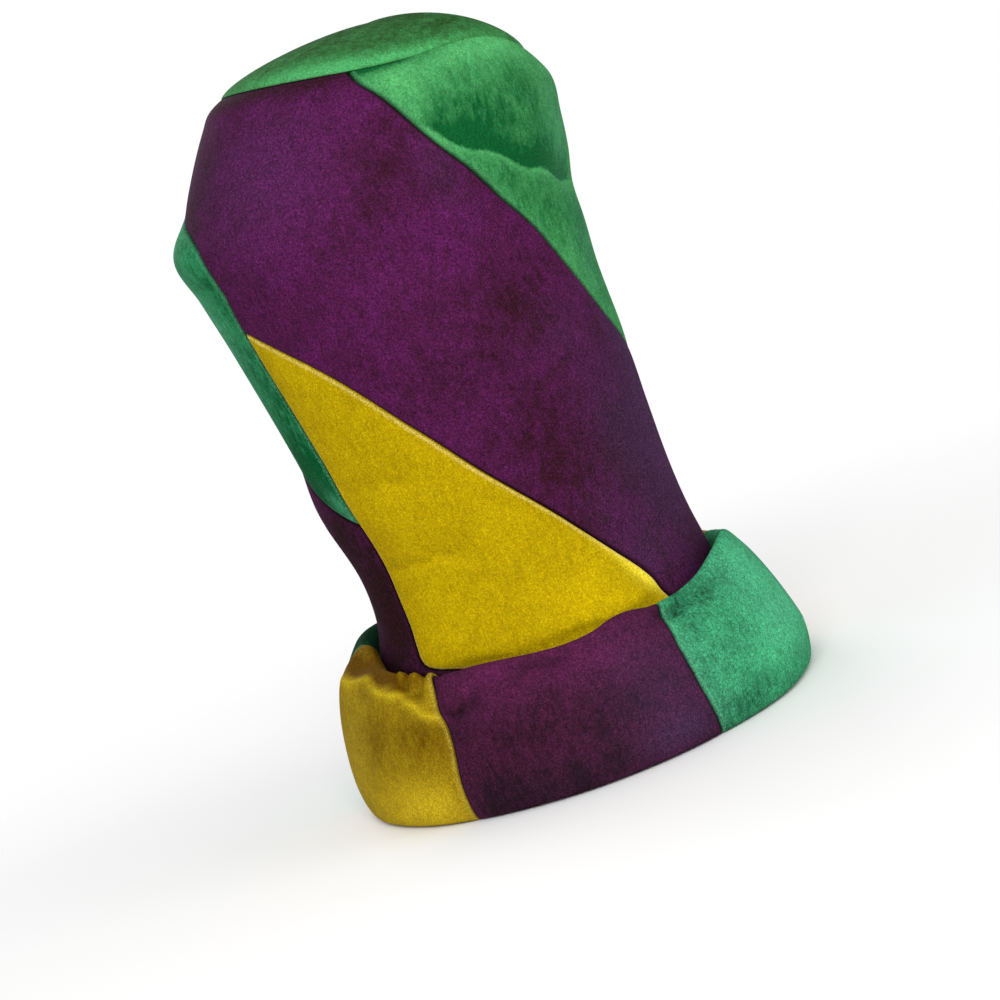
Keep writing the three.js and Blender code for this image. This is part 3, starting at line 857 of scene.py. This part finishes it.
cuff_green_painted_light_velvet = velvet("cuff_green_painted_light_velvet", CUFF_GREEN_PAINTED_LIGHT, crush=0.33, grain=0.48, painted_seam_shade=0.8)

# node, cloth, slot, then the height and turn of points on the seam that it starts at
CUFF_PANELS = [
    ("cuff_gold_right", cuff_gold_velvet, "velvet_gold", [(0, -97), (80, -97)]),
    (
        "cuff_purple_right",
        cuff_purple_velvet,
        "velvet_purple",
        [(0, -33.3), (25, -33.3), (45, -32.9), (56, -33.6), (66, -35.9), (74, -37), (80, -38)],
    ),
    ("cuff_green_front", cuff_green_painted_light_velvet, "velvet_green", [(0, 30), (35, 28), (66, 28.5), (80, 30.5)]),
    ("cuff_gold_left", cuff_gold_velvet, "velvet_gold", [(0, 106), (80, 106)]),
    ("cuff_purple_left", cuff_purple_velvet, "velvet_purple", [(0, 151), (80, 151)]),
    ("cuff_green_back", cuff_green_painted_light_velvet, "velvet_green", [(0, 207), (80, 207)]),
]


def gathers(turn):
    """Waves round the cuff where it is gathered, dying out at both ends of that stretch."""
    along = (plain_turn(turn) - GATHER_TURNS[0]) / (GATHER_TURNS[1] - GATHER_TURNS[0])
    ends = smooth_step(np.minimum(along, 1 - along), 0, GATHER_ENDS)
    return ends * np.cos(2 * np.pi * GATHER_COUNT * along)


def cuff_line(place):
    """Reach and height of the cuff's line at any place along it, never below the floor."""
    reach, height = through(CUFF_LINE, place)
    return reach, np.maximum(height, 0)


def cuff_surface(turn, place):
    """Outside of the cuff: its line set out from the ellipse of the crown's foot. Above its widest part it
    loses a share of its reach, its roll is tucked in, and its height is stretched to that of the rolled top
    there."""
    reach, height = cuff_line(place)
    top, lean, tuck = through(CUFF_ROUND, plain_turn(turn))
    top = top + GATHER_RISE * gathers(turn)
    _, _, _, half_depth, half_width = SECTIONS[0]
    above = np.maximum(0, height - CUFF_LINE_WIDEST) / (CUFF_LINE_TOP - CUFF_LINE_WIDEST)
    start, full, easing, eased = TUCK_PLACES
    tucked = smooth_step(place, start, full) * (1 - TUCK_LOSS * smooth_step(place, easing, eased))
    out = reach * (1 - lean * above) - tuck * tucked
    angle = np.radians(turn)
    return np.stack(
        [
            -(half_width + out) * np.cos(angle),
            -(half_depth + out) * np.sin(angle),
            height * top / CUFF_LINE_TOP,
        ],
        axis=-1,
    )


def cuff_panel(start, end):
    """Grids of a cuff panel: rows along the cuff's line, columns between two seams. Folds, gathers and swell
    show on the outside and fade out under the hat and inside the roll. With them come the lay of its pile
    with painted light and shade, its painted sheen, and the distance from the nearest seam."""
    places = np.linspace(0, CUFF_LINE[-1][0], CUFF_ROWS)
    reach, height = cuff_line(places)
    _, _, _, half_depth, half_width = SECTIONS[0]
    per_degree = np.radians(half_depth + half_width + 2 * reach) / 2
    from_turn, to_turn = start(height), end(height)
    width = (to_turn - from_turn) * per_degree - SEAM_GAP
    across = between(width, CUFF_COLUMNS)
    turn = from_turn[:, None] + (across + SEAM_GAP / 2) / per_degree[:, None]
    place = np.broadcast_to(places[:, None], turn.shape)
    shown = (smooth_step(reach, *SHOWN_REACH) * smooth_step(height, *SHOWN_HEIGHT))[:, None]
    level = cuff_surface(turn, place)[..., 2]
    distances = [across, width[:, None] - across]
    fullness = np.prod([1 - np.exp(-distance / SWELL_REACH) for distance in distances], axis=0)
    roll = sum(rolled_in(distance, CUFF_SEAM_ROLL) for distance in distances)
    swell = fullness * (PANEL_SWELL + unevenness(CUFF_WAVES, turn, level))
    gathered = GATHER_SIZE * gathers(turn) * smooth_step(level, GATHER_LOW, CUFF_LINE_TOP)
    folded, fold_lay_and_painted_light = pressed(CUFF_FOLDS, turn, level)
    moved = shown * (folded + swell + gathered)
    outer = raised(cuff_surface, turn, place, moved - roll)
    inner = raised(cuff_surface, turn, place, moved - WALL)
    lay_and_painted_light, painted_sheen = lay_and_painted_light_of_pile(CUFF_LAY_AND_PAINTED_LIGHT, turn, level)
    return outer, inner, (lay_and_painted_light + fold_lay_and_painted_light, painted_sheen), np.min(distances, axis=0)


cuff_seams = [seam_line(seam) for *_, seam in CUFF_PANELS] + [seam_line(CUFF_PANELS[0][-1], 360)]
for (node, cloth, slot, _), start, end in zip(CUFF_PANELS, cuff_seams, cuff_seams[1:]):
    sew(node, cloth, cuff_panel(start, end))

# Floor, light and camera
# A round sheet of pale floor that fades into a white surround, soft light from above the camera, from the
# hat's front and from its far side, and a camera at the wearer's right, rolled so that the hat leans back.
FLOOR_RADIUS = 0.75
FLOOR_DROP = 0.0004  # below the hat's sole, so that they don't share a plane
FLOOR_SIDES = 96
FLOOR_FADE = (0.2, 0.7)  # distances from its middle over which the floor fades out
FLOOR_COLOUR = (0.93, 0.93, 0.93, 1)
WHITE = (1, 1, 1, 1)
SURROUND_LIGHT = 0.6  # strength of the surround as a light, as against 1 as a backdrop
CAMERA_PLACE = Vector((-1.29505, 0, 0.30330))
CAMERA_AIM = Vector((0, 0.00334, 0.13739))
CAMERA_ROLL = -20.0
FOCUS_PIXELS = 2405  # focal length, in pixels of the photo
PHOTO_PIXELS = 1000  # across the photo
SENSOR_MM = 36

floor_mesh = bpy.data.meshes.new("floor")
rim_angles = np.arange(FLOOR_SIDES) * 2 * np.pi / FLOOR_SIDES
rim = np.stack([np.cos(rim_angles), np.sin(rim_angles), np.zeros(FLOOR_SIDES)], axis=-1) * FLOOR_RADIUS
floor_mesh.from_pydata((rim - [0, 0, FLOOR_DROP]).tolist(), [], [list(range(FLOOR_SIDES))])
floor_paint = bpy.data.materials.new("pale_floor")
floor_paint.use_nodes = True
floor_tree = floor_paint.node_tree
floor_tree.nodes.clear()
floor_place = floor_tree.nodes.new("ShaderNodeTexCoord").outputs["Object"]
measure = add_node(floor_tree, "ShaderNodeVectorMath", {0: floor_place}, operation="LENGTH")
pale = add_node(floor_tree, "ShaderNodeBsdfDiffuse", {"Color": FLOOR_COLOUR}).outputs["BSDF"]
clear = floor_tree.nodes.new("ShaderNodeBsdfTransparent").outputs["BSDF"]
faded = mapped(floor_tree, measure.outputs["Value"], *FLOOR_FADE, 0.0, 1.0)
floor_shader = add_node(floor_tree, "ShaderNodeMixShader", {0: faded, 1: pale, 2: clear})
add_node(floor_tree, "ShaderNodeOutputMaterial", {"Surface": floor_shader.outputs["Shader"]})
floor_mesh.materials.append(floor_paint)
floor = bpy.data.objects.new("floor", floor_mesh)
bpy.context.collection.objects.link(floor)

surround = bpy.data.worlds.new("white_surround")
surround.use_nodes = True
sky_tree = surround.node_tree
sky_tree.nodes.clear()
seen = sky_tree.nodes.new("ShaderNodeLightPath").outputs["Is Camera Ray"]
strength = mapped(sky_tree, seen, 0.0, 1.0, SURROUND_LIGHT, 1.0)
sky = add_node(sky_tree, "ShaderNodeBackground", {"Color": WHITE, "Strength": strength})
add_node(sky_tree, "ShaderNodeOutputWorld", {"Surface": sky.outputs["Background"]})
bpy.context.scene.world = surround
bpy.context.scene.view_settings.view_transform = "Standard"

# name, place, aim, size in metres, watts
LAMPS = [
    ("key_lamp", (-1.5, 0.1, 0.9), (0, 0, 0.2), 0.9, 18),
    ("side_lamp", (-0.7, -1.4, 0.7), (0, 0, 0.2), 0.9, 6),
    ("back_lamp", (1.4, 0.6, 1.0), (0, 0, 0.2), 0.9, 8),
]
for name, place, aim, size, watts in LAMPS:
    lamp = bpy.data.lights.new(name, "AREA")
    lamp.size = size
    lamp.energy = watts
    holder = bpy.data.objects.new(name, lamp)
    holder.location = place
    holder.rotation_euler = (Vector(aim) - Vector(place)).to_track_quat("-Z", "Y").to_euler()
    bpy.context.collection.objects.link(holder)

lens = bpy.data.cameras.new("camera")
lens.sensor_width = SENSOR_MM
lens.lens = SENSOR_MM * FOCUS_PIXELS / PHOTO_PIXELS
camera = bpy.data.objects.new("camera", lens)
camera.location = CAMERA_PLACE
camera.rotation_euler = (CAMERA_AIM - CAMERA_PLACE).to_track_quat("-Z", "Y").to_euler()
camera.rotation_euler.rotate_axis("Z", np.radians(CAMERA_ROLL))
bpy.context.collection.objects.link(camera)
bpy.context.scene.camera = camera
